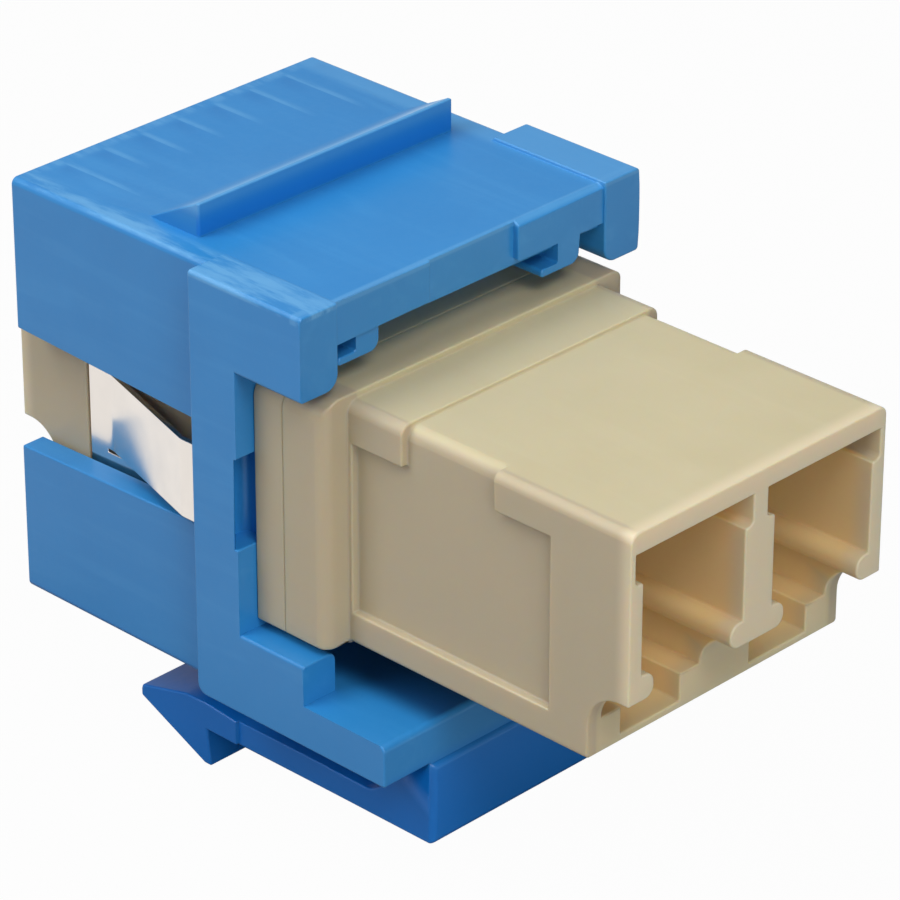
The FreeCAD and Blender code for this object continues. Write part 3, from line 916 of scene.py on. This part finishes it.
shell = merged_copy("keystone_housing", "housing_shell")
cut_out(shell, block(centre=(0, -7.75, -9.9), size=(13, 4.0, 4.0)))
cut_out(shell, block(centre=(0, -9.45, -7.5), size=(12, 1.0, 1.2)))
edit()
merge_faces(doubles_within)
leave()
print("shell without its root:", len(shell.data.polygons), "faces")

# %% [markdown]
# The deck ends at the rear in a lip whose top lies slightly lower. A ledge that low
# reads as a soft slope, so its points are lifted: level with the deck where the two
# meet, and a little at the outer edge. Then the shell is rounded like the other
# mouldings, outer corners only. The hidden stretch above the root is spared.

# %% Lip and rounding of the shell
lip_top, lip_from = 7.75, 2.1


def lift_lip(y, rise):
    """Lifts the points of the lip's top that lie at y."""
    choose(shell, "VERT", lambda p: abs(p.z - lip_top) < 0.01 and abs(p.y - y) < 0.01
           and p.x > lip_from)
    bpy.ops.transform.translate(value=(0, 0, rise))


lift_lip(y=-4.9, rise=0.18)
lift_lip(y=-5.15, rise=0.06)
bpy.ops.mesh.select_all(action="SELECT")
bpy.ops.mesh.remove_doubles(threshold=doubles_within)
leave()
round_edges(shell, 0.07, hollows=False,
            spare=lambda p: abs(p.x) < 6.0 and p.y < -8.8 and p.z < -7.75)
finish_piece(shell, "housing", blue_moulding, "keystone_housing")

# %% [markdown]
# ## The latch
#
# A flat tongue hangs under the housing on a thick root, with a round-ended slot
# between tongue and deck so that it can flex. Its far end is an arrow head with a barb
# that catches behind the wall plate. It is modelled from one block, the root: its
# front face is split at the tongue's height, and the lower half is drawn forward in
# steps, a little wider from the second one on. The last step's underside is pulled
# down to give the arrow head its depth.

# %% Latch block and tongue
root_back, root_front = -9.07, -5.75
root_top, tongue_top, underside = -7.9, -10.13, -11.08
root_width, head_width = 11.8, 12.06

latch = block(centre=(0, (root_back + root_front) / 2, (underside + root_top) / 2),
              size=(root_width, root_front - root_back, root_top - underside))
latch.name = "latch_tongue"
edit()
bpy.ops.mesh.select_all(action="SELECT")
bpy.ops.mesh.bisect(plane_co=(0, 0, tongue_top), plane_no=(0, 0, 1))


def pull(test, move, wider=None):
    """Extrudes the faces that pass test and moves them, or widens them too."""
    if not choose(latch, "FACE", test):
        raise ValueError("no face to pull")
    bpy.ops.mesh.extrude_region_move(TRANSFORM_OT_translate={"value": move})
    if wider:
        bpy.ops.transform.resize(value=(wider, 1, 1), center_override=(0, 0, -10.6))


for reach, wider in ((6.05, None), (0.04, head_width / root_width), (1.46, None),
                     (1.0, None), (2.3, None)):
    pull(lambda c, n: n.y > 0.9 and c.z < tongue_top, (0, reach, 0), wider)
pull(lambda c, n: n.z < -0.9 and c.y > 1.8, (0, 0, -1.41))
print("latch before shaping:", len(latch.data.polygons), "faces")

# %% [markdown]
# Now the corners of the arrow head move to their places. The barb's back leans so
# that it hooks, its underside closes to a narrow tip, and from there a slope runs up
# to the nose. Last, the upright and lower edges of the root's rear face get a generous
# bevel of their own, before the small rounding that every edge shares.

# %% Arrow head and root
def shift(y, z, move):
    """Moves the points that lie at y and z."""
    if not choose(latch, "VERT", lambda p: abs(p.y - y) < 0.03 and abs(p.z - z) < 0.03):
        raise ValueError("no point to shift")
    bpy.ops.transform.translate(value=move)


shift(1.8, -12.49, (0, -0.17, 0))         # the barb's back leans
shift(2.8, -12.49, (0, -0.84, 0))         # its tip narrows
shift(5.1, -12.49, (0, 0.05, 1.45))       # the slope rises to the nose
shift(5.1, underside, (0, 0.05, 0.30))    # the nose, lower point
shift(5.1, tongue_top, (0, 0.0, -0.47))   # the nose, upper point
shift(2.8, tongue_top, (0, 0.05, 0.10))   # the head's top, front
shift(1.8, tongue_top, (0, 0.05, 0.13))   # the head's top, back
choose(latch, "EDGE",
       lambda c: c.y < -9.06 and (abs(c.x) > 5.89 or c.z < -11.07))
bpy.ops.mesh.bevel(offset=0.26, segments=6, affect="EDGES")
leave()
print("latch shaped:", len(latch.data.polygons), "faces")

# %% [markdown]
# The slot's end is made as a workshop would: a drill, here a cylinder lying across,
# gives the round lower half, and a square mill opens the half above it up to the
# deck. The small rounding follows. It spares the root's top, where the latch grows
# into the housing, and the two short edges where the tongue widens.

# %% Round end of the slot
slot_radius = 1.115
widens_at = 0.32

bpy.ops.object.select_all(action="DESELECT")
bpy.ops.mesh.primitive_cylinder_add(
    vertices=64, radius=slot_radius, depth=14,
    location=(0, root_front, -9.015), rotation=(0, math.pi / 2, 0))
drill = bpy.context.object
bpy.ops.object.transform_apply(location=True, rotation=True, scale=False)
mill = block(centre=(0, root_front, -8.3), size=(14, 2 * slot_radius, 1.43))
cut_out(latch, drill)
cut_out(latch, mill)
edit()
merge_faces(0.002)
bpy.ops.mesh.normals_make_consistent(inside=False)
leave()
round_edges(latch, 0.08, limit=30, spare=lambda p: p.z > -7.95 or (
    abs(p.y - widens_at) < 0.05 and abs(p.x) > 5.85))

# %% [markdown]
# A straight stretch with points only at its ends can't bend. Extra cuts across it give it
# enough points to turn smoothly where the tongue would bend.

# %% Cuts across the bend
first_cut, cut_step = -7.1, 0.25

edit()
for step in range(14):
    bpy.ops.mesh.select_all(action="SELECT")
    bpy.ops.mesh.bisect(plane_co=(0, first_cut + step * cut_step, 0), plane_no=(0, 1, 0))
leave()
shade_evenly(latch)
at_work_size(latch, 0.001)
latch.data.materials.append(blue_moulding)
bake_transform(latch)
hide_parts("release_latch")
print("%-16s %6d faces" % (latch.name, len(latch.data.polygons)))
